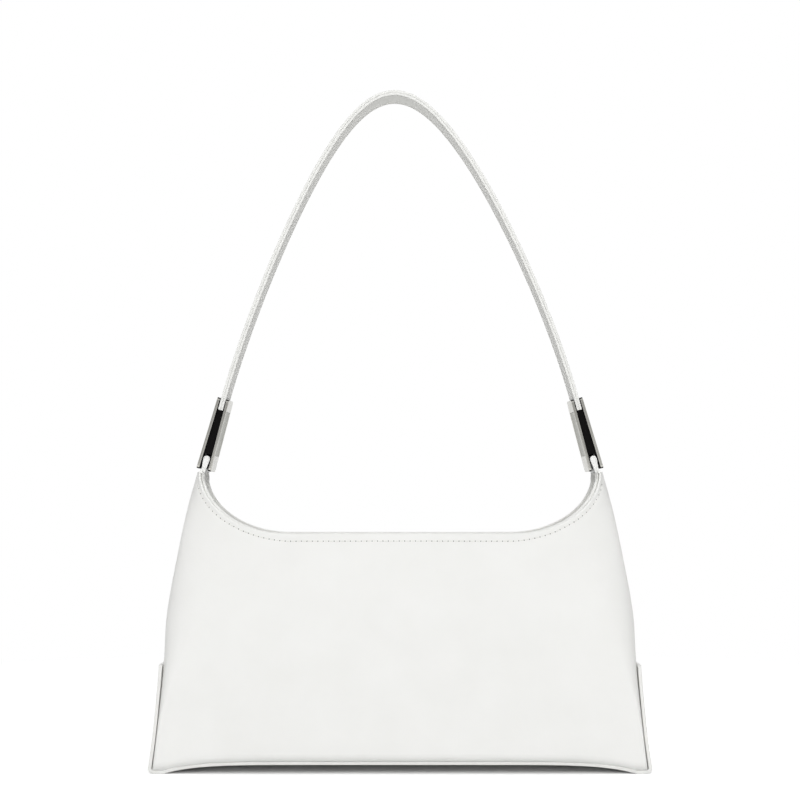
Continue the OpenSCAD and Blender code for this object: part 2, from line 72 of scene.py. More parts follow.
makeCamera()
scene.view_settings.view_transform = "Standard"
print("camera placed")


# Colours are written as sRGB hex values
def toLinear(hexCode):
    parts = [int(hexCode[i:i + 2], 16) / 255 for i in (1, 3, 5)]
    return [p / 12.92 if p <= 0.04045 else ((p + 0.055) / 1.055) ** 2.4 for p in parts] + [1.0]


# Adds one node with its settings, socket values and links
def addNode(tree, kind, values=None, links=None, **settings):
    node = tree.nodes.new(kind)
    for name, value in settings.items():
        setattr(node, name, value)
    for socket, value in (values or {}).items():
        node.inputs[socket].default_value = value
    for socket, source in (links or {}).items():
        tree.links.new(source, node.inputs[socket])
    return node


# An empty material with its shader joined to the output
def startMaterial(name, values):
    material = bpy.data.materials.new(name)
    material.use_nodes = True
    tree = material.node_tree
    tree.nodes.clear()
    shader = addNode(tree, "ShaderNodeBsdfPrincipled", values)
    addNode(tree, "ShaderNodeOutputMaterial", links={"Surface": shader.outputs[0]})
    return material, tree, shader


# Full-grain calf, pigmented white, plated smooth: an even satin with a faint grain and soft cloudiness.
# The real grain of about 0.2 mm is too fine to show and is drawn at 0.9 mm.
calfLeather = {"light": "#f2f2f0", "shade": "#ebebe8", "grain": 0.9 * mm, "depth": 0.018 * mm,
               "cloud": 28 * mm, "rough": (0.4, 0.5)}
# Split calf inside the rim and under the strap: the same white without the plating, matt, open pores
facingCalf = {"light": "#efefec", "shade": "#e6e6e2", "grain": 0.7 * mm, "depth": 0.012 * mm,
              "cloud": 15 * mm, "rough": (0.58, 0.68)}
# Edge paint, rubbed on by hand in layers: smooth, a little glossy and uneven
edgePaint = {"light": "#f6f6f4", "shade": "#e9e9e6", "grain": 1.6 * mm, "depth": 0.05 * mm,
             "cloud": 4 * mm, "rough": (0.32, 0.42)}

# The strap's and the base's edges take a greyer, rougher copy of the edge paint: its greyer tone is painted
# shade, so these edges show darker than the rim's bands
shadedEdgePaint = {"light": "#eeeeeb", "shade": "#e0e0dd", "grain": 1.1 * mm, "depth": 0.04 * mm,
             "cloud": 3 * mm, "rough": (0.45, 0.55)}


def makeLeather(name, look):
    material, tree, shader = startMaterial(name, {"IOR": 1.46, "Specular IOR Level": 0.45})
    coords = addNode(tree, "ShaderNodeTexCoord").outputs["Object"]
    cloud = addNode(tree, "ShaderNodeTexNoise", {"Scale": 1 / look["cloud"], "Detail": 3.0,
                                                 "Roughness": 0.55}, {"Vector": coords})
    tone = addNode(tree, "ShaderNodeMix", {6: toLinear(look["shade"]), 7: toLinear(look["light"])},
                   {0: cloud.outputs["Fac"]}, data_type="RGBA")
    gloss = addNode(tree, "ShaderNodeMapRange", {"From Min": 0.3, "From Max": 0.7, "To Min": look["rough"][0],
                                                 "To Max": look["rough"][1]}, {"Value": cloud.outputs["Fac"]})
    cells = addNode(tree, "ShaderNodeTexVoronoi", {"Scale": 1 / look["grain"], "Randomness": 1.0},
                    {"Vector": coords}, feature="SMOOTH_F1")
    creases = addNode(tree, "ShaderNodeTexNoise", {"Scale": 0.35 / look["grain"], "Detail": 4.0},
                      {"Vector": coords})
    height = addNode(tree, "ShaderNodeMath", links={0: cells.outputs["Distance"], 1: creases.outputs["Fac"]},
                     operation="ADD")
    bump = addNode(tree, "ShaderNodeBump", {"Strength": 1.0, "Distance": look["depth"]},
                   {"Height": height.outputs[0]})
    tree.links.new(tone.outputs[2], shader.inputs["Base Color"])
    tree.links.new(gloss.outputs["Result"], shader.inputs["Roughness"])
    tree.links.new(bump.outputs[0], shader.inputs["Normal"])
    return material


# Plain-woven cotton, calendered: fine even threads, with painted shade in the dark gaps between them. The
# real threads are 0.35 mm apart and are drawn at 0.8 mm.
liningCotton = {"thread": "#d2cdc3", "gap": "#aea89c", "spacing": 0.8 * mm, "depth": 0.12 * mm}


def makeCotton(name, look):
    material, tree, shader = startMaterial(name, {"Roughness": 0.9, "Sheen Weight": 0.25,
                                                  "Sheen Roughness": 0.5})
    coords = addNode(tree, "ShaderNodeUVMap", uv_map="surface").outputs["UV"]
    scale = {"Scale": math.pi / (10 * look["spacing"]), "Distortion": 0.35, "Detail": 1.0,
             "Detail Scale": 1.5}
    warp = addNode(tree, "ShaderNodeTexWave", scale, {"Vector": coords}, bands_direction="X")
    weft = addNode(tree, "ShaderNodeTexWave", scale, {"Vector": coords}, bands_direction="Y")
    over = addNode(tree, "ShaderNodeTexChecker", {"Scale": 1 / look["spacing"]}, {"Vector": coords})
    height = addNode(tree, "ShaderNodeMix", links={0: over.outputs["Fac"], 2: warp.outputs["Fac"],
                                                   3: weft.outputs["Fac"]}, data_type="FLOAT")
    # The low places of the weave take the gap colour: painted shade between the threads
    tone = addNode(tree, "ShaderNodeMix", {6: toLinear(look["gap"]), 7: toLinear(look["thread"])},
                   {0: height.outputs[0]}, data_type="RGBA")
    bump = addNode(tree, "ShaderNodeBump", {"Strength": 0.7, "Distance": look["depth"]},
                   {"Height": height.outputs[0]})
    tree.links.new(tone.outputs[2], shader.inputs["Base Color"])
    tree.links.new(bump.outputs[0], shader.inputs["Normal"])
    return material


# Brass plated with nickel, polished then line-brushed along its length: bright, with fine lines.
# The real lines are about 0.05 mm apart and are drawn at 0.3 mm.
brushedNickel = {"light": "#d6d5cf", "shade": "#aeada6", "line": 0.3 * mm, "length": 14 * mm,
                 "rough": (0.16, 0.34), "depth": 0.006 * mm}
# The sunk fields of the plates: the same nickel, bead-blasted, so darker and matt. The beads of about
# 0.1 mm are drawn at 0.25 mm.
blastedNickel = {"light": "#b4b4ae", "shade": "#9a9a94", "line": 0.25 * mm, "length": 0.25 * mm,
                 "rough": (0.42, 0.55), "depth": 0.012 * mm}


def makeNickel(name, look, lean):
    material, tree, shader = startMaterial(name, {"Metallic": 1.0})
    coords = addNode(tree, "ShaderNodeTexCoord").outputs["Object"]
    turned = addNode(tree, "ShaderNodeMapping", {"Rotation": (0, math.radians(lean), 0)}, {"Vector": coords})
    scale = (1 / look["line"], 1 / look["line"], 1 / look["length"])
    drawn = addNode(tree, "ShaderNodeMapping", {"Scale": scale}, {"Vector": turned.outputs[0]})
    lines = addNode(tree, "ShaderNodeTexNoise", {"Scale": 1.0, "Detail": 3.0}, {"Vector": drawn.outputs[0]})
    tone = addNode(tree, "ShaderNodeMix", {6: toLinear(look["shade"]), 7: toLinear(look["light"])},
                   {0: lines.outputs["Fac"]}, data_type="RGBA")
    gloss = addNode(tree, "ShaderNodeMapRange", {"From Min": 0.3, "From Max": 0.7, "To Min": look["rough"][0],
                                                 "To Max": look["rough"][1]}, {"Value": lines.outputs["Fac"]})
    bump = addNode(tree, "ShaderNodeBump", {"Strength": 1.0, "Distance": look["depth"]},
                   {"Height": lines.outputs["Fac"]})
    tree.links.new(tone.outputs[2], shader.inputs["Base Color"])
    tree.links.new(gloss.outputs["Result"], shader.inputs["Roughness"])
    tree.links.new(bump.outputs[0], shader.inputs["Normal"])
    return material


# Black lacquer, sprayed: deep and matt, with the slightest ripple; on the plates' inner faces and ends it is
# painted shade for the dark slots beside the leather. Waxed polyester thread: three strands twisted, a little
# shiny. Fibre board, pressed: matt, flecked. Stitch holes: the raw leather in shade.
plainLooks = {
    "blackLacquerAndSlotShade": {"light": "#0e0d0c", "shade": "#080707", "size": 6 * mm, "depth": 0.02 * mm,
                     "rough": 0.5, "shine": 0.08},
    "waxedThread": {"light": "#f4f3ef", "shade": "#d9d8d3", "size": 0.5 * mm, "depth": 0.06 * mm,
                    "rough": 0.5, "shine": 0.5},
    "fibreBoard": {"light": "#8f887c", "shade": "#6f695f", "size": 1.5 * mm, "depth": 0.1 * mm,
                   "rough": 0.85, "shine": 0.5},
    "stitchHole": {"light": "#86867f", "shade": "#5f5f5a", "size": 0.4 * mm, "depth": 0.05 * mm,
                   "rough": 0.9, "shine": 0.5},
}


def makePlain(name, look):
    material, tree, shader = startMaterial(name, {"Roughness": look["rough"],
                                                  "Specular IOR Level": look["shine"]})
    coords = addNode(tree, "ShaderNodeTexCoord").outputs["Object"]
    flecks = addNode(tree, "ShaderNodeTexNoise", {"Scale": 1 / look["size"], "Detail": 3.0},
                     {"Vector": coords})
    tone = addNode(tree, "ShaderNodeMix", {6: toLinear(look["shade"]), 7: toLinear(look["light"])},
                   {0: flecks.outputs["Fac"]}, data_type="RGBA")
    bump = addNode(tree, "ShaderNodeBump", {"Strength": 1.0, "Distance": look["depth"]},
                   {"Height": flecks.outputs["Fac"]})
    tree.links.new(tone.outputs[2], shader.inputs["Base Color"])
    tree.links.new(bump.outputs[0], shader.inputs["Normal"])
    return material


linkLean = 15.6
leather = makeLeather("calf_leather", calfLeather)
facingLeather = makeLeather("facing_calf", facingCalf)
paintedEdge = makeLeather("edge_paint", edgePaint)
# A greyer copy of the edge paint: painted shade on the strap's and the base's edges
shadedEdge = makeLeather("shaded_edge_paint", shadedEdgePaint)
cotton = makeCotton("lining_cotton", liningCotton)
nickel = {"left": makeNickel("brushed_nickel_left", brushedNickel, -linkLean),
          "right": makeNickel("brushed_nickel_right", brushedNickel, linkLean)}
sunkNickel = makeNickel("blasted_nickel", blastedNickel, 0)
plain = {name: makePlain(name, look) for name, look in plainLooks.items()}
print("materials made")

# The body's shape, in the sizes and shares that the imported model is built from. Only the corners beside the
# turned-up ends of the base are tighter, in the first end shares, as no more than a seam line is seen there.
body = {
    "width": 277 * mm, "depth": 80 * mm, "topWidth": 234 * mm, "closedDepth": 35 * mm, "hornHeight": 168 * mm,
    "endRound": 60 * mm, "crown": 4 * mm, "rimHeight": 133 * mm, "rimFlat": 128 * mm, "rimEndIn": 1.7 * mm,
    "innerEnd": 0.5, "baseLeather": 1.9 * mm, "archRise": 4.7 * mm, "archHalf": 131.5 * mm, "archPower": 8,
    "seat": 0.2 * mm, "frontPower": 1.5, "climbPower": 1.5,
}
widthShares = [(0, 1), (0.14, 0.89), (0.36, 0.784), (0.5, 0.782), (0.6, 0.698), (0.7, 0.562), (0.8, 0.41),
               (0.9, 0.228), (1, 0)]
depthShares = [(0, 1), (0.36, 0.6), (0.5, 0.389), (0.6, 0.213), (0.7, 0.05), (0.79, -0.02), (0.9, -0.01),
               (1, 0)]
crownShares = [(0, 0), (0.36, 0.5), (0.55, 0.75), (0.7, 0.2), (0.79, -0.75), (1, -0.9)]
endShares = [(0, 0.02), (0.18, 0.035), (0.36, 0.17), (0.5, 0.42), (0.6, 0.62), (0.7, 0.87), (0.79, 1),
             (0.835, 1), (0.87, 0.92), (0.905, 0.64), (0.938, 0.385), (0.97, 0.2), (1, 0.093)]
cornerShares = [(0, 0.11), (0.18, 0.18), (0.36, 0.33), (0.5, 0.6), (0.6, 0.8), (0.7, 0.9), (0.79, 0.93),
                (1, 0.93)]
rimEnd = body["topWidth"] / 2 - body["rimEndIn"]


def mirrorX(point):
    return Vector((-point.x, point.y, point.z))


# Distance along a run of points, at each of them
def runLengths(points):
    lengths = [0.0]
    for a, b in zip(points, points[1:]):
        lengths.append(lengths[-1] + (b - a).length)
    return lengths


# Where the goals fall on a run: the index of the point before, and the share of the way to the next
def placesAt(lengths, goals):
    places, k = [], 0
    for goal in goals:
        while k < len(lengths) - 2 and lengths[k + 1] < goal:
            k += 1
        places.append((k, (goal - lengths[k]) / (lengths[k + 1] - lengths[k])))
    return places


# Finds the nearest of many points
def nearestTree(points):
    tree = kdtree.KDTree(len(points))
    for i, point in enumerate(points):
        tree.insert(point, i)
    tree.balance()
    return tree


# Smooth curve through a table of (share, value) pairs
def smoothTable(table, share):
    s = min(max(share, 0.0), 1.0)
    i = 0
    while i < len(table) - 2 and s >= table[i + 1][0]:
        i += 1
    slopes = []
    for k in (i, i + 1):
        low, high = table[max(k - 1, 0)], table[min(k + 1, len(table) - 1)]
        slopes.append((high[1] - low[1]) / (high[0] - low[0]))
    width = table[i + 1][0] - table[i][0]
    u = (s - table[i][0]) / width
    return (table[i][1] * (2 * u ** 3 - 3 * u * u + 1) + table[i + 1][1] * (3 * u * u - 2 * u ** 3)
            + slopes[0] * width * (u ** 3 - 2 * u * u + u) + slopes[1] * width * (u ** 3 - u * u))


def halfWidth(z):
    share = smoothTable(widthShares, z / body["hornHeight"])
    return (body["topWidth"] + (body["width"] - body["topWidth"]) * share) / 2


def halfDepth(z):
    share = smoothTable(depthShares, z / body["hornHeight"])
    return (body["closedDepth"] + (body["depth"] - body["closedDepth"]) * share) / 2


def swellAt(z):
    return body["crown"] * smoothTable(crownShares, z / body["hornHeight"])


# A point of the body's skin moved out by a distance. c runs from 0 at the middle of the left end, round the
# corner from 1 to 2, to 3 in the middle of the front and on to 6 at the right end.
def skinPoint(c, z, out):
    if c > 3:
        return mirrorX(skinPoint(6 - c, z, out))
    share = z / body["hornHeight"]
    a = halfWidth(z) + out
    b = halfDepth(z) + out
    length = body["endRound"] * smoothTable(endShares, share)
    w = max(length + out, body["innerEnd"] * length)
    d = halfDepth(z) * smoothTable(cornerShares, share) + out
    if c <= 1:
        return Vector((-a, -(b - d) * c, z))
    if c <= 2:
        turn = math.radians(90 * (c - 1))
        return Vector((-(a - w) - w * math.cos(turn), -(b - d) - d * math.sin(turn), z))
    u = 1 - (c - 2) ** body["frontPower"]
    return Vector((-(a - w) * u, -b - swellAt(z) * (1 - u * u) ** 2, z))


# The column c of the skin that passes through a distance x from the middle, at a height
def columnAt(x, z, out):
    a = halfWidth(z) + out
    length = body["endRound"] * smoothTable(endShares, z / body["hornHeight"])
    w = max(length + out, body["innerEnd"] * length)
    if x > a - w:
        return 1 + math.degrees(math.acos(min((x - a + w) / w, 1))) / 90
    return 2 + (1 - x / (a - w)) ** (1 / body["frontPower"])


# A place (c, z) on the rim: r runs over the left horn's tip to 1, down the curve to 2 and to 3 in the middle
def rimPlace(r, out):
    if r > 3:
        c, z = rimPlace(6 - r, out)
        return 6 - c, z
    if r <= 1:
        return r * columnAt(rimEnd + out, body["hornHeight"], out), body["hornHeight"]
    flat = body["rimFlat"] / 2
    turn = math.radians(90 * max(2 - r, 0))
    z = body["rimHeight"] + (body["hornHeight"] - body["rimHeight"]) * (1 - math.cos(turn))
    x = flat * min(3 - r, 1) + (rimEnd + out - flat) * math.sin(turn)
    return columnAt(x, z, out), z


def archHeight(x):
    share = min(abs(x) / body["archHalf"], 1)
    return body["archRise"] * (1 - share ** body["archPower"])


# Columns of the skin as pairs of their place along the rim and their column at the floor, both evenly spaced
def makeColumns(spacing):
    def evenly(places, points):
        lengths = runLengths(points)
        even = []
        for k, part in placesAt(lengths, [lengths[-1] * i / count for i in range(count)]):
            even.append(places[k] + (places[k + 1] - places[k]) * part)
        return even + [3.0]

    fine = [i / 300 for i in range(901)]
    rim = [skinPoint(*rimPlace(r, 0), 0) for r in fine]
    count = round(runLengths(rim)[-1] / spacing)
    left = list(zip(evenly(fine, rim), evenly(fine, [skinPoint(c, 0, 0) for c in fine])))
    return left + [(6 - r, 6 - c) for r, c in reversed(left[:-1])]


# Lengths of the skin at a height: half of the end, the corner, and from there to the middle of the front
def skinRuns(z):
    b, length = halfDepth(z), body["endRound"] * smoothTable(endShares, z / body["hornHeight"])
    d = b * smoothTable(cornerShares, z / body["hornHeight"])
    return b - d, math.pi / 2 * math.sqrt((length * length + d * d) / 2), halfWidth(z) - length


# Share of the way along the skin, from the end to the middle of the front, for a column, and the reverse
def wayOfColumn(c, z):
    end, corner, front = skinRuns(z)
    length = end * min(c, 1) + corner * min(max(c - 1, 0), 1) + front * max(c - 2, 0) ** body["frontPower"]
    return length / (end + corner + front)


def columnOfWay(way, z):
    end, corner, front = skinRuns(z)
    length = way * (end + corner + front)
    if length < end:
        return length / end
    if length < end + corner:
        return 1 + (length - end) / corner
    return 2 + min((length - end - corner) / front, 1) ** (1 / body["frontPower"])


# Point at a height on the line that runs up the skin from the floor's column to the rim's
def columnPoint(rimC, floorC, share, z, out, side=0):
    if rimC > 3:
        point = mirrorX(columnPoint(6 - rimC, 6 - floorC, share, z, out))
    else:
        low, high = wayOfColumn(floorC, 0), wayOfColumn(rimC, z / max(share, 1e-6))
        way = low + (high - low) * share ** body["climbPower"]
        point = skinPoint(columnOfWay(way, z), z, out)
    if side:
        point.y -= giveAt(point, side)
    return point


# A grid whose columns and rows are placed one by one, and merged where they meet
def mappedGrid(columns, rows, place):
    bm = bmesh.new()
    bmesh.ops.create_grid(bm, x_segments=columns, y_segments=rows, size=0.5)
    for vert in bm.verts:
        vert.co = place(round((vert.co.x + 0.5) * columns), round((vert.co.y + 0.5) * rows))
    bmesh.ops.remove_doubles(bm, verts=bm.verts, dist=1e-7)
    bmesh.ops.dissolve_degenerate(bm, edges=bm.edges, dist=1e-8)
    bmesh.ops.recalc_face_normals(bm, faces=bm.faces)
    return bm


# Fills the open ends of a mesh
def closeEnds(bm):
    bmesh.ops.holes_fill(bm, edges=[e for e in bm.edges if e.is_boundary], sides=0)
    bmesh.ops.recalc_face_normals(bm, faces=bm.faces)


# Puts a finished mesh in the scene with its materials
def addPiece(name, bm, materials, slot, sharp=None):
    for face in bm.faces:
        face.smooth = True
    mesh = bpy.data.meshes.new(name)
    bm.to_mesh(mesh)
    bm.free()
    if sharp:
        mesh.set_sharp_from_angle(angle=math.radians(sharp))
    for material in materials:
        mesh.materials.append(material)
    piece = bpy.data.objects.new(name, mesh)
    scene.collection.objects.link(piece)
    return piece


# The panels give a little between their seams: slow waves that fade towards the rim, the base and the ends
give = {"depth": 0.7 * mm, "length": 75 * mm, "fade": 30 * mm, "endIn": 5 * mm}


def giveAt(point, side):
    edge = min(point.z, body["rimHeight"] - point.z) / give["fade"]
    end = (halfWidth(point.z) - abs(point.x) - give["endIn"]) / give["fade"]
    share = max(min(edge, end, 1), 0)
    wave = noise.noise(Vector((point.x / give["length"] + 3.1, 7.7 * side, point.z / give["length"])))
    return give["depth"] * wave * share * share * (3 - 2 * share)


# A layer of leather or cloth in the skin: up its face, over its top edge and down its back. The face lies at
# the offset out, rounds off towards the rim and dips at the stitch row. Where it has a round edge, what lies
# within half its thickness of the rim's middle line is painted.
def makeSheet(side, spec):
    # Beside the seams at both ends the columns lie closer
    gap = spec["seam"] / body["closedDepth"]
    seams = [(gap * k, gap * k) for k in (1, 2, 4)]
    columns = seams + [pair for pair in spec["columns"] if gap * 6 < pair[0] < 6 - gap * 6]
    columns += [(6 - r, 6 - c) for r, c in reversed(seams)]
    middle = spec["out"] - spec["thick"] / 2
    rims = [rimPlace(r, middle) for r, c in columns]
    rim = [skinPoint(c, z, middle) for (c, z), (r, _) in zip(rims, columns) if 1 <= r <= 5]
    tree = nearestTree([a.lerp(b, k / 12) for a, b in zip(rim, rim[1:]) for k in range(12)])
    lows = [spec["low"](floorC, z) for (c, z), (r, floorC) in zip(rims, columns)]
    faceRows, backRows = spec["rows"]
    rows = faceRows + backRows
    last = len(columns) - 1

    def place(i, j):
        rimC, rimZ = rims[i]
        top, low = rimZ - spec["below"], lows[i]
        face = j <= faceRows or j > rows
        share = (j if j <= faceRows else rows - j) / (faceRows if j <= faceRows else backRows)
        if j > rows:
            share = 0
        z = top - (top - low) * (1 - share) ** 2
        up = z / rimZ
        point = columnPoint(rimC, columns[i][1], up, z, middle)
        out = middle
        if share < 1 and i not in (0, last):
            r = spec["thick"] / 2
            edge = tree.find(point)[2]
            inset = max(r - edge, 0) if spec["round"] else 0
            half = math.sqrt(max(r * r - inset * inset, 0))
            dip = spec["dip"] * math.exp(-((edge - stitchInAt(point.x)) / spec["dipWidth"]) ** 2)
            if face:
                out = middle + half - dip * (spec["dipSide"] > 0)
            else:
                out = middle - half + dip * (spec["dipSide"] < 0)
        point = columnPoint(rimC, columns[i][1], up, z, out, side)
        point.y *= side
        return point

    bm = mappedGrid(last, rows + 1, place)
    if spec["round"]:
        for face in bm.faces:
            centre = face.calc_center_median()
            centre.y *= side
            if tree.find(centre)[2] < spec["thick"] / 2:
                face.material_index = 1
    return bm


# The stitch row under the rim lies nearer to the edge on the curves than along the middle. It ends a little
# below the horn's top, outside (1) and inside (-1).
rimStitch = {"middle": 4.5 * mm, "curve": 2.9 * mm, "clear": {1: 6 * mm, -1: 16 * mm}}


def stitchInAt(x):
    share = min(max((abs(x) - body["rimFlat"] / 2) / (rimEnd - body["rimFlat"] / 2) * 1.6, 0), 1)
    return rimStitch["middle"] + (rimStitch["curve"] - rimStitch["middle"]) * share


# Height of the arched underside below a column of the skin
def floorAt(c):
    return archHeight(skinPoint(c, 0, 0).x)


sheetColumns = makeColumns(0.9 * mm)
coarseColumns = makeColumns(3 * mm)
outerSheet = {"out": 0.0, "thick": 1.8 * mm, "below": 0.0, "seam": 0.12 * mm, "columns": sheetColumns,
              "rows": (56, 16), "low": lambda c, top: floorAt(c) + body["baseLeather"] + body["seat"],
              "round": True, "dip": 0.35 * mm, "dipWidth": 1.3 * mm, "dipSide": 1}
facingSheet = {"out": -1.92 * mm, "thick": 1.7 * mm, "below": 0.0, "seam": 0.12 * mm, "columns": sheetColumns,
               "rows": (16, 36), "low": lambda c, top: top - 32 * mm, "round": True, "dip": 0.25 * mm,
               "dipWidth": 1.1 * mm, "dipSide": -1}
liningSheet = {"out": -2.15 * mm, "thick": 0.6 * mm, "below": 32.2 * mm, "seam": 0.12 * mm,
               "columns": coarseColumns, "rows": (24, 24), "low": lambda c, top: floorAt(c) + 4.6 * mm,
               "round": False, "dip": 0.0, "dipWidth": 1 * mm, "dipSide": 1}


# Lays the surface's own lengths along X and up the sheet as UV coordinates, in metres
def addSurfaceUv(bm, alongY=False):
    layer = bm.loops.layers.uv.new("surface")
    for face in bm.faces:
        for loop in face.loops:
            co = loop.vert.co
            loop[layer].uv = (co.x + 0.5, (co.y if alongY else co.z) + 0.5)


for side, word in ((1, "front"), (-1, "back")):
    outer = addPiece(f"{word}_leather", makeSheet(side, outerSheet), [leather, paintedEdge], "outer_leather")
    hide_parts(f"{word}_panel", *(("left_horn", "right_horn") if side == 1 else ()))
    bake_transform(outer)
    facing = addPiece(f"{word}_facing_leather", makeSheet(side, facingSheet), [facingLeather, paintedEdge],
                      "facing_leather")
    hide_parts(f"{word}_facing")
    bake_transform(facing)
    clothMesh = makeSheet(side, liningSheet)
    addSurfaceUv(clothMesh)
    cloth = addPiece(f"{word}_lining_cloth", clothMesh, [cotton], "lining_cloth")
    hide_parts(f"{word}_lining")
    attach(cloth, "bag")
    print(word, "leather, facing and lining made")


# Rounded section of a strip: pairs of across and up, anticlockwise, with a dip along each stitch row
def stripSection(width, low, high, radius, stitchIn, dip, dipSide):
    points = []
    steps = 4
    corners = ((1, low, -90), (1, high, 0), (-1, high, 90), (-1, low, 180))
    for sign, level, start in corners:
        centre = (sign * (width / 2 - radius), level + (radius if level == low else -radius))
        for k in range(steps + 1):
            turn = math.radians(start + 90 * k / steps)
            points.append((centre[0] + radius * math.cos(turn), centre[1] + radius * math.sin(turn)))
        if level == high and sign == 1 or level == low and sign == -1:
            across = [width / 2 - stitchIn * s for s in (0.6, 0.8, 1, 1.2, 1.5)]
            run = across + [0.0] + [-a for a in reversed(across)]
            side = 1 if level == high else -1
            for a in run:
                fall = dip * math.exp(-((abs(a) - width / 2 + stitchIn) / (0.35 * stitchIn)) ** 2)
                points.append((a if side == 1 else -a, level - side * fall * (side == dipSide)))
    return points


# A strip that follows frames of (point, up, across), with a section of its own at each
def makeStrip(frames, sections):
    rows = len(sections[0])

    def place(i, j):
        point, up, across = frames[i]
        a, b = sections[i][j % rows]
        return point + across * a + up * b

    bm = mappedGrid(len(frames) - 1, rows, place)
    closeEnds(bm)
    return bm


# Gives the narrow sides of a strip the painted edge as their second material
def paintEdges(bm):
    for face in bm.faces:
        if abs(face.normal.y) > 0.5:
            face.material_index = 1


link = {"pinX": 110.9 * mm, "pinZ": 175.4 * mm, "top": 36 * mm, "pivotUp": 37.6 * mm, "strapFoot": 29.3 * mm}


# A point on the left link's middle line, from its height above the pin
def onLink(up):
    turn = math.radians(linkLean)
    return Vector((-link["pinX"] + up * math.sin(turn), 0, link["pinZ"] + up * math.cos(turn)))


# The strap's leather starts from just inside the top of its link
strap = {"width": 25 * mm, "thick": 2.9 * mm, "height": 388 * mm, "topRadius": 21.3 * mm, "lean": 3.2 * mm,
         "start": 1.75 * mm, "layerGap": 0.03 * mm, "round": 0.32 * mm, "stitchIn": 2.2 * mm,
         "dip": 0.12 * mm, "step": 1.4 * mm, "bend": (-2 * mm, 14 * mm)}
strapEnd = onLink(link["pivotUp"] + strap["start"])
strapRise = strap["height"] - strap["thick"] / 2 - strapEnd.z


def strapMiddle(q):
    first = 2 * strap["topRadius"] * strapRise
    rest = strapEnd.x ** 2 - first
    half = q * math.sqrt(first + rest * q * q * (1.5 - 0.5 * q ** 4))
    return Vector((half - strap["lean"] * (1 - q * q) ** 2, 0, strapEnd.z + strapRise * (1 - q * q)))


# Middle line of one half of the strap, from inside its link to the top, evenly spaced
def strapPath(sign):
    first = [onLink(link["strapFoot"]), onLink(link["pivotUp"])]
    if sign > 0:
        first = [mirrorX(p) for p in first]
    raw = first + [strapMiddle(sign * (1 - i / 400)) for i in range(401)]
    lengths = runLengths(raw)
    count = round(lengths[-1] / strap["step"])
    goals = [lengths[-1] * i / count for i in range(count + 1)]
    return [raw[k].lerp(raw[k + 1], part) for k, part in placesAt(lengths, goals)]


# Frames along a path in the XZ plane, whose up points to the outside of the strap
def pathFrames(path, sign, lastTangent=None):
    frames = []
    for i, point in enumerate(path):
        tangent = (path[min(i + 1, len(path) - 1)] - path[max(i - 1, 0)]).normalized()
        if lastTangent and i == len(path) - 1:
            tangent = lastTangent
        up = Vector((tangent.z * sign, 0, -tangent.x * sign))
        frames.append((point, up, Vector((0, 1, 0))))
    return frames


topTangent = (strapMiddle(0.002) - strapMiddle(-0.002)).normalized()
half = strap["thick"] / 2
strapLayers = (("strap_leather", strap["layerGap"] / 2, half, 1, leather, "outer_leather"),
               ("strap_underside", -half, -strap["layerGap"] / 2, -1, facingLeather, "facing_leather"))
for sign, word in ((-1, "left"), (1, "right")):
    frames = pathFrames(strapPath(sign), sign, topTangent * -sign)
    for name, low, high, dipSide, material, slotName in strapLayers:
        section = stripSection(strap["width"], low, high, strap["round"], strap["stitchIn"], strap["dip"],
                               dipSide)
        bm = makeStrip(frames, [section] * len(frames))
        paintEdges(bm)
        piece = addPiece(f"{word}_{name}", bm, [material, shadedEdge], slotName, sharp=60)
        if dipSide == 1:
            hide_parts(f"{word}_strap_end", "strap_outer")
        else:
            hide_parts("strap_lining")
        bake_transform(piece)
    print(word, "half of the strap made")

# Base: one strip of leather under the bag, turned up outside both ends
base = {"thick": 1.9 * mm, "endHeight": 59 * mm, "edgeRadius": 3 * mm, "round": 0.35 * mm, "endIn": 0.45,
        "endInHeight": 0.35, "stitchIn": 2.4 * mm, "dip": 0.12 * mm, "threadIn": 0.1 * mm}


def baseFrames():
    t = base["thick"] / 2
    path = []
    zs = [base["endHeight"] - (base["endHeight"] - base["edgeRadius"]) * i / 40 for i in range(41)]
    for z in zs:
        path.append(Vector((-(halfWidth(z) + body["seat"] + t), 0, z)))
    foot = -path[-1].x + t - base["edgeRadius"]
    for k in range(1, 7):
        turn = math.radians(90 * k / 6)
        r = base["edgeRadius"] - t
        path.append(Vector((-foot - r * math.cos(turn), 0, base["edgeRadius"] - r * math.sin(turn))))
    for i in range(61):
        x = -body["archHalf"] * (1 - i / 60)
        path.append(Vector((x, 0, archHeight(x) + t)))
    path = path + [mirrorX(p) for p in reversed(path[:-1])]
    frames, sections = [], []
    for i, point in enumerate(path):
        tangent = (path[min(i + 1, len(path) - 1)] - path[max(i - 1, 0)]).normalized()
        frames.append((point, Vector((tangent.z, 0, -tangent.x)), Vector((0, 1, 0))))
        z = point.z
        share = z / body["hornHeight"]
        cut = base["endIn"] * halfDepth(z) * smoothTable(cornerShares, share)
        width = 2 * (halfDepth(z) - cut * min(1, z / (base["endHeight"] * base["endInHeight"])))
        width = min(width, body["depth"])
        sections.append(stripSection(width, -t, t, base["round"], base["stitchIn"], base["dip"], 1))
    return frames, sections


bm = makeStrip(*baseFrames())
paintEdges(bm)
baseStrip = addPiece("base_strip", bm, [leather, shadedEdge], "outer_leather")
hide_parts("base_panel")
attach(baseStrip, "bag")
print("base made")

# Tabs: the horn's two layers run on as one loop of leather round the pin, skived thin at the top. A filler
# painted with the edge closes the loop in front of the pin's ends.
tab = {"footWidth": 25.6 * mm, "width": 24.4 * mm, "loopThick": 1.08 * mm, "loopRadius": 1.5 * mm,
       "round": 0.28 * mm, "neck": 6.6 * mm, "neckHalf": 0.6 * mm, "neckThick": 1.2 * mm, "neckEnd": 8.2 * mm,
       "fillerIn": 0.08 * mm, "fillerDepth": 0.8 * mm, "straight": 0.1 * mm, "footIn": 0.7 * mm,
       "footRise": 3 * mm, "thinner": 0.08 * mm, "edgeIn": 2.2 * mm, "smooth": 6}
pinAt = onLink(0)


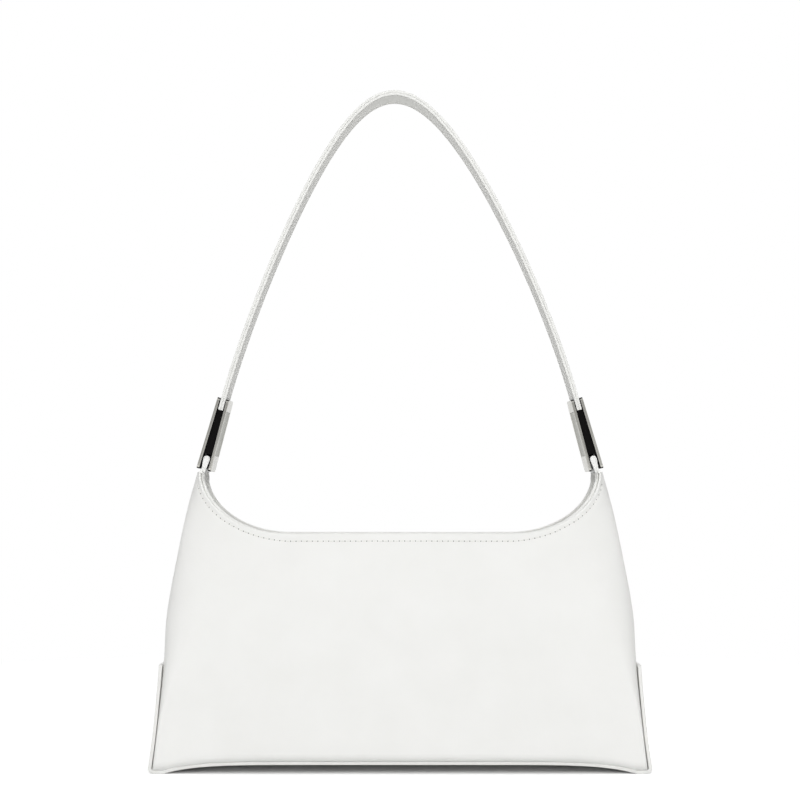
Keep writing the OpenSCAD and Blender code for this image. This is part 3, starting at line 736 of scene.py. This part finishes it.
# Path of the loop from the outer foot to the inner foot, with the leather's thickness at each point
def tabPath():
    lean = math.radians(linkLean)
    down = Vector((-math.sin(lean), 0, -math.cos(lean)))
    across = Vector((math.cos(lean), 0, -math.sin(lean)))
    outerThick, innerThick = outerSheet["thick"], facingSheet["thick"]
    footTop = body["hornHeight"] + tab["straight"]
    outerFoot = Vector((-rimEnd + outerThick / 2, 0, footTop))
    innerFoot = Vector((-rimEnd - facingSheet["out"] + innerThick / 2, 0, footTop))
    sunk = Vector((0, 0, -tab["straight"] - tab["footIn"]))
    neck = pinAt + down * tab["neck"]
    arc = []
    for k in range(17):
        turn = math.radians(180 - 180 * k / 16) - lean
        arc.append(pinAt + tab["loopRadius"] * Vector((math.cos(turn), 0, math.sin(turn))))
    stations = [outerFoot + sunk, outerFoot, neck - across * tab["neckHalf"], arc[0]]
    path = [a.lerp(b, k / 6) for a, b in zip(stations, stations[1:]) for k in range(6)]
    path += arc
    stations = [arc[-1], neck + across * tab["neckHalf"], innerFoot, innerFoot + sunk]
    path += [a.lerp(b, k / 6) for a, b in zip(stations, stations[1:]) for k in range(1, 7)]
    for _ in range(tab["smooth"]):
        inner = [(path[i - 1] + 2 * path[i] + path[i + 1]) / 4 for i in range(1, len(path) - 1)]
        path = [path[0]] + inner + [path[-1]]
    thicks = []
    for i, point in enumerate(path):
        away = (point - pinAt).length
        foot = (outerThick if i < len(path) / 2 else innerThick) - tab["thinner"]
        near = smoothTable([(0, tab["loopThick"]), (0.35, tab["loopThick"]), (1, tab["neckThick"])],
                           (away - tab["loopRadius"]) / (tab["neck"] - tab["loopRadius"]))
        far = min(max((away - tab["neck"]) / (tab["neckEnd"] - tab["neck"]), 0), 1)
        thicks.append(near + (foot - near) * far)
    return path, thicks


def makeTab(sign):
    path, thicks = tabPath()
    sections = []
    for point, t in zip(path, thicks):
        rise = min(max((point.z - body["hornHeight"]) / tab["footRise"], 0), 1)
        width = tab["footWidth"] + (tab["width"] - tab["footWidth"]) * rise
        sections.append(stripSection(width, -t / 2, t / 2, min(tab["round"], t / 2.2), tab["edgeIn"], 0, 1))
    bm = makeStrip(pathFrames(path, 1), sections)
    paintEdges(bm)
    loop = [(p.x, p.z) for p in path[1:-1]]
    for end in (-1, 1):
        ys = [end * (tab["width"] / 2 - tab["fillerIn"] - d) for d in (0, tab["fillerDepth"])]
        frames = [(Vector((0, y, 0)), Vector((0, 0, 1)), Vector((1, 0, 0))) for y in ys]
        filler = makeStrip(frames, [loop, loop])
        for face in filler.faces:
            face.material_index = 1
        mesh = bpy.data.meshes.new("filler")
        filler.to_mesh(mesh)
        filler.free()
        bm.from_mesh(mesh)
    for vert in bm.verts:
        vert.co.x *= -sign
    bmesh.ops.recalc_face_normals(bm, faces=bm.faces)
    return bm


for sign, word in ((-1, "left"), (1, "right")):
    piece = addPiece(f"{word}_tab_loop", makeTab(sign), [leather, paintedEdge], "outer_leather", sharp=60)
    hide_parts(f"{word}_tab")
    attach(piece, "horns")
print("tabs made")


# Edge radii of the hard pieces, and how deep a plate's blasted field lies, from and to
hard = {"plate": 0.22 * mm, "core": 0.3 * mm, "pin": 0.2 * mm, "snap": 0.3 * mm, "board": 0.3 * mm,
        "field": (0.15 * mm, 0.6 * mm)}


# A copy of a imported piece with its edges bevelled. A plate's face towards "sunk" has a blasted field; its
# other face and its ends take the core's black lacquer, as painted shade for the dark slots beside the
# leather.
def bevelledCopy(name, node, bodyName, material, slotName, width, sunk=None):
    bm = bmesh.new()
    bm.from_mesh(nodes[node].data)
    bmesh.ops.remove_doubles(bm, verts=bm.verts, dist=1e-6)
    bmesh.ops.dissolve_limit(bm, angle_limit=math.radians(1), verts=bm.verts, edges=bm.edges)
    edges = [e for e in bm.edges if len(e.link_faces) == 2 and e.calc_face_angle(0) > math.radians(40)]
    bmesh.ops.bevel(bm, geom=edges, offset=width, offset_type="OFFSET", segments=3, profile=0.5,
                    affect="EDGES", clamp_overlap=True, material=-1)
    if sunk:
        outermost = max(v.co.dot(sunk) for v in bm.verts)
        along = Vector((-sunk.z, 0, sunk.x))
        for face in bm.faces:
            deep = outermost - face.calc_center_median().dot(sunk)
            if face.normal.dot(sunk) > 0.98 and hard["field"][0] < deep < hard["field"][1]:
                face.material_index = 1
            # Faces towards the core and the ends: black, painted shade for the slots
            elif face.normal.dot(sunk) < -0.5 or abs(face.normal.dot(along)) > 0.6:
                face.material_index = 2
    materials = [material, sunkNickel, plain["blackLacquerAndSlotShade"]] if sunk else [material]
    piece = addPiece(name, bm, materials, slotName, sharp=28)
    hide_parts(node)
    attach(piece, bodyName)


for sign, word in ((-1, "left"), (1, "right")):
    rider, metal = f"{word}_link", nickel[word]
    for plate, away in (("outer_plate", 1), ("inner_plate", -1)):
        turn = math.radians(linkLean + away)
        outwards = Vector((sign * math.cos(turn), 0, math.sin(turn))) * away
        bevelledCopy(f"{word}_{plate}_metal", f"{word}_{plate}", rider, metal, "nickel", hard["plate"],
                     outwards)
    bevelledCopy(f"{word}_core_block", f"{word}_core", rider, plain["blackLacquerAndSlotShade"], "dark_core",
                 hard["core"])
    bevelledCopy(f"{word}_loop_pin", f"{word}_pin", rider, metal, "nickel", hard["pin"])
    bevelledCopy(f"{word}_clamp_rod", f"{word}_clamp_pin", rider, metal, "nickel", hard["pin"])
bevelledCopy("snap_stud_cap", "snap_stud", "bag", nickel["left"], "nickel", hard["snap"])
bevelledCopy("snap_socket_cap", "snap_socket", "bag", nickel["right"], "nickel", hard["snap"])
bevelledCopy("stiffener_board", "base_board", "bag", plain["fibreBoard"], "board", hard["board"])
print("links, snap and board made")

# Floor lining: cloth over the board
floor = {"thick": 0.6 * mm, "level": 4.4 * mm}
low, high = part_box("floor_lining")


def placeFloor(i, j):
    x = low[0] + (high[0] - low[0]) * i / 80
    across, up = ((0, -1), (1, -1), (1, 0), (0, 0), (0, -1))[j]
    y = low[1] + (high[1] - low[1]) * across
    return Vector((x, y, archHeight(x) + floor["level"] + up * floor["thick"]))


bm = mappedGrid(80, 4, placeFloor)
closeEnds(bm)
addSurfaceUv(bm, alongY=True)
floorCloth = addPiece("floor_cloth", bm, [cotton], "lining_cloth", sharp=40)
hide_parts("floor_lining")
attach(floorCloth, "bag")

# Stitches: grains of thread that dip into round holes at both ends, and lie most of the way down their dip
stitch = {"pitch": 3.1 * mm, "strapPitch": 2.4 * mm, "thread": 0.26 * mm, "length": 0.62,
          "hole": 0.36 * mm, "lift": 0.03 * mm, "down": 0.8}


# One grain, one unit long and wide each way
def makeGrain(index):
    bm = bmesh.new()
    bmesh.ops.create_uvsphere(bm, u_segments=6, v_segments=5, radius=1)
    # Blender gives a sphere's faces in no fixed order, so they are put in one
    bm.faces.sort(key=lambda face: face.calc_center_median().dot((1, 10, 100)))
    for face in bm.faces:
        face.material_index = index
    mesh = bpy.data.meshes.new("grain")
    bm.to_mesh(mesh)
    bm.free()
    return mesh


threadGrain, holeGrain = makeGrain(0), makeGrain(1)


# Adds stitches to a mesh along a path of (point, normal) pairs
def addStitches(bm, path, pitch):
    lengths = runLengths([point for point, _ in path])
    goals = [(i + 1) * pitch / 2 for i in range(2 * int(lengths[-1] / pitch))]
    for i, (k, part) in enumerate(placesAt(lengths, goals)):
        point = path[k][0].lerp(path[k + 1][0], part)
        normal = path[k][1].lerp(path[k + 1][1], part).normalized()
        side = normal.cross(path[k + 1][0] - path[k][0]).normalized()
        along = side.cross(normal)
        if i % 2:
            grain, sizes = holeGrain, (stitch["hole"], stitch["hole"], stitch["lift"], 1)
        else:
            grain, sizes = threadGrain, (stitch["length"] * pitch / 2, stitch["thread"], stitch["thread"], 1)
        turned = Matrix((along, side, normal)).transposed().to_4x4()
        matrix = Matrix.Translation(point) @ turned @ Matrix.Diagonal(sizes)
        grain.transform(matrix)
        bm.from_mesh(grain)
        grain.transform(matrix.inverted())


# The stitch row under a rim
def rimStitchPath(side, out, normalSign):
    tree = nearestTree([skinPoint(*rimPlace(r, out), out) for r, _ in sheetColumns if 1 <= r <= 5])
    path = []
    for i in range(1001):
        c = 0.3 + 5.4 * i / 1000
        low, high = 100 * mm, body["hornHeight"]
        for _ in range(22):
            middle = (low + high) / 2
            point = skinPoint(c, middle, out)
            if tree.find(point)[2] > stitchInAt(point.x) and middle < rimOver(point.x, out):
                low = middle
            else:
                high = middle
        if low > body["hornHeight"] - rimStitch["clear"][normalSign]:
            continue
        point = skinPoint(c, low, out)
        along = skinPoint(c + 0.01, low, out) - skinPoint(c - 0.01, low, out)
        rise = skinPoint(c, low + 0.5 * mm, out) - skinPoint(c, low - 0.5 * mm, out)
        normal = along.cross(rise).normalized() * normalSign
        point = point - normal * outerSheet["dip"] * stitch["down"]
        point.y *= side
        normal.y *= side
        path.append((point, normal))
    return path


# Height of the rim over x
def rimOver(x, out):
    flat = body["rimFlat"] / 2
    u = min(max((abs(x) - flat) / (rimEnd + out - flat), 0), 1)
    return body["rimHeight"] + (body["hornHeight"] - body["rimHeight"]) * (1 - math.sqrt(1 - u * u))


for side, word in ((1, "front"), (-1, "back")):
    bm = bmesh.new()
    addStitches(bm, rimStitchPath(side, 0.0, 1), stitch["pitch"])
    addStitches(bm, rimStitchPath(side, facingSheet["out"] - facingSheet["thick"], -1), stitch["pitch"])
    bmesh.ops.recalc_face_normals(bm, faces=bm.faces)
    piece = addPiece(f"{word}_rim_stitches", bm, [plain["waxedThread"], plain["stitchHole"]], "thread")
    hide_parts(f"{word}_rim_thread")
    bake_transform(piece)

for sign, word in ((-1, "left"), (1, "right")):
    bm = bmesh.new()
    frames = pathFrames(strapPath(sign), sign, topTangent * -sign)[6:]  # from where the strap leaves its link
    for face in (1, -1):
        for edge in (1, -1):
            rise = face * (strap["thick"] / 2 - strap["dip"] * stitch["down"])
            path = [(p + up * rise + across * edge * (strap["width"] / 2 - strap["stitchIn"]), up * face)
                    for p, up, across in frames]
            addStitches(bm, path, stitch["strapPitch"])
    bmesh.ops.recalc_face_normals(bm, faces=bm.faces)
    piece = addPiece(f"{word}_strap_stitches", bm, [plain["waxedThread"], plain["stitchHole"]], "thread")
    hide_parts("strap_threads")
    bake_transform(piece)

bm = bmesh.new()
frames, sections = baseFrames()
for edge in (1, -1):
    path = []
    for (point, up, across), section in zip(frames, sections):
        half = max(a for a, b in section)
        rise = base["thick"] / 2 - base["threadIn"]
        path.append((point + up * rise + across * edge * (half - base["stitchIn"]), up))
    addStitches(bm, path, stitch["pitch"])
bmesh.ops.recalc_face_normals(bm, faces=bm.faces)
baseStitches = addPiece("base_stitches", bm, [plain["waxedThread"], plain["stitchHole"]], "thread")
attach(baseStitches, "bag")
print("stitches made")

# Light: a white tent, with a soft key above the camera
light = {"tent": 0.13, "front": 3.6, "lobe": 8.0, "top": 0.8, "sides": 0.6, "room": 0.5,
         "opening": (0.55, 0.95), "key": 5.2, "keySize": 1.4, "keyPlace": (0.05, -1.7, 0.75),
         "keyAim": (0, 0, 0.12)}


def makeLight():
    world = bpy.data.worlds.new("tent")
    scene.world = world
    world.use_nodes = True
    tree = world.node_tree
    tree.nodes.clear()
    path = addNode(tree, "ShaderNodeLightPath")
    seen = addNode(tree, "ShaderNodeMath", links={0: path.outputs["Is Camera Ray"],
                                                  1: path.outputs["Is Glossy Ray"]}, operation="MAXIMUM")
    seen = addNode(tree, "ShaderNodeMath", links={0: seen.outputs[0], 1: path.outputs["Is Transmission Ray"]},
                   operation="MAXIMUM")
    # The tent lights more from above, from the front and from the back. Towards the camera it is open, so it
    # is darker in reflections.
    direction = addNode(tree, "ShaderNodeTexCoord").outputs["Generated"]
    parts = addNode(tree, "ShaderNodeSeparateXYZ", links={0: direction})
    forward = addNode(tree, "ShaderNodeMath", {1: -1.0}, {0: parts.outputs["Y"]}, operation="MULTIPLY",
                      use_clamp=True)
    depth = addNode(tree, "ShaderNodeMath", links={0: parts.outputs["Y"]}, operation="ABSOLUTE")
    lobe = addNode(tree, "ShaderNodeMath", {1: light["lobe"]}, {0: depth.outputs[0]}, operation="POWER")
    upward = addNode(tree, "ShaderNodeMath", {1: 1.0}, {0: parts.outputs["Z"]}, operation="MULTIPLY",
                     use_clamp=True)
    roof = addNode(tree, "ShaderNodeMath", {1: light["top"], 2: light["tent"]}, {0: upward.outputs[0]},
                   operation="MULTIPLY_ADD")
    lit = addNode(tree, "ShaderNodeMath", {1: light["front"]}, {0: lobe.outputs[0], 2: roof.outputs[0]},
                  operation="MULTIPLY_ADD")
    sideways = addNode(tree, "ShaderNodeMath", links={0: parts.outputs["X"], 1: parts.outputs["X"]},
                       operation="MULTIPLY")
    kept = addNode(tree, "ShaderNodeMath", {1: -light["sides"], 2: 1.0}, {0: sideways.outputs[0]},
                   operation="MULTIPLY_ADD")
    lit = addNode(tree, "ShaderNodeMath", links={0: lit.outputs[0], 1: kept.outputs[0]}, operation="MULTIPLY")
    opening = addNode(tree, "ShaderNodeMapRange", {"From Min": light["opening"][0], "To Min": 1.0,
                                                   "From Max": light["opening"][1], "To Max": light["room"]},
                      {"Value": forward.outputs[0]})
    mirrored = addNode(tree, "ShaderNodeMix", {2: 1.0}, {0: path.outputs["Is Glossy Ray"],
                                                        3: opening.outputs["Result"]}, data_type="FLOAT")
    strength = addNode(tree, "ShaderNodeMix", links={0: seen.outputs[0], 2: lit.outputs[0],
                                                     3: mirrored.outputs[0]}, data_type="FLOAT")
    white = addNode(tree, "ShaderNodeBackground", {"Color": toLinear("#ffffff")},
                    {"Strength": strength.outputs[0]})
    addNode(tree, "ShaderNodeOutputWorld", links={"Surface": white.outputs[0]})
    data = bpy.data.lights.new("key", "AREA")
    data.energy = light["key"]
    data.size = light["keySize"]
    lamp = bpy.data.objects.new("key", data)
    lamp.location = light["keyPlace"]
    lamp.visible_glossy = False
    aim = Vector(light["keyAim"]) - lamp.location
    lamp.rotation_euler = aim.to_track_quat("-Z", "Y").to_euler()
    scene.collection.objects.link(lamp)


# Floor: white paper that keeps the bag's shadow, has a painted contact shadow round the bag's footprint, and
# fades into the white behind
paper = {"size": 6.0, "tone": 1.42, "contactShadowTone": 0.8, "half": (0.127, 0.03), "soft": 0.012, "near": 0.25,
         "far": 0.7, "bounce": 0.8}


def makeFloor():
    bm = bmesh.new()
    bmesh.ops.create_grid(bm, x_segments=1, y_segments=1, size=paper["size"] / 2)
    mesh = bpy.data.meshes.new("floor")
    bm.to_mesh(mesh)
    bm.free()
    material = bpy.data.materials.new("white_paper")
    material.use_nodes = True
    tree = material.node_tree
    tree.nodes.clear()
    path = addNode(tree, "ShaderNodeLightPath")
    seen = addNode(tree, "ShaderNodeMath", links={0: path.outputs["Is Camera Ray"],
                                                  1: path.outputs["Is Glossy Ray"]}, operation="MAXIMUM")
    coords = addNode(tree, "ShaderNodeTexCoord").outputs["Object"]
    away = addNode(tree, "ShaderNodeVectorMath", links={0: coords}, operation="LENGTH")
    fade = addNode(tree, "ShaderNodeMapRange", {"From Min": paper["near"], "From Max": paper["far"]},
                   {"Value": away.outputs["Value"]})
    # Close to the bag's footprint the paper's colour is darkened: a painted contact shadow, for the dark line
    # of contact
    parts = addNode(tree, "ShaderNodeSeparateXYZ", links={0: coords})
    beyond = []
    for axis in (0, 1):
        size = addNode(tree, "ShaderNodeMath", links={0: parts.outputs[axis]}, operation="ABSOLUTE")
        beyond.append(addNode(tree, "ShaderNodeMath", {1: paper["half"][axis]}, {0: size.outputs[0]},
                              operation="SUBTRACT"))
    nearest = addNode(tree, "ShaderNodeMath", links={0: beyond[0].outputs[0], 1: beyond[1].outputs[0]},
                      operation="MAXIMUM")
    tone = addNode(tree, "ShaderNodeMapRange", {"From Max": paper["soft"], "To Min": paper["contactShadowTone"],
                                                "To Max": paper["tone"]}, {"Value": nearest.outputs[0]})
    shown = addNode(tree, "ShaderNodeBsdfDiffuse", links={"Color": tone.outputs["Result"]})
    glow = addNode(tree, "ShaderNodeEmission", {"Color": toLinear("#ffffff"), "Strength": 1.0})
    faded = addNode(tree, "ShaderNodeMixShader", links={0: fade.outputs["Result"], 1: shown.outputs[0],
                                                        2: glow.outputs[0]})
    bounced = addNode(tree, "ShaderNodeBsdfDiffuse", {"Color": [paper["bounce"]] * 3 + [1]})
    both = addNode(tree, "ShaderNodeMixShader", links={0: seen.outputs[0], 1: bounced.outputs[0],
                                                       2: faded.outputs[0]})
    clear = addNode(tree, "ShaderNodeBsdfTransparent")
    geometry = addNode(tree, "ShaderNodeNewGeometry")
    final = addNode(tree, "ShaderNodeMixShader", links={0: geometry.outputs["Backfacing"], 1: both.outputs[0],
                                                        2: clear.outputs[0]})
    addNode(tree, "ShaderNodeOutputMaterial", links={"Surface": final.outputs[0]})
    mesh.materials.append(material)
    floorPlane = bpy.data.objects.new("floor", mesh)
    scene.collection.objects.link(floorPlane)


makeLight()
makeFloor()
print("light and floor made")
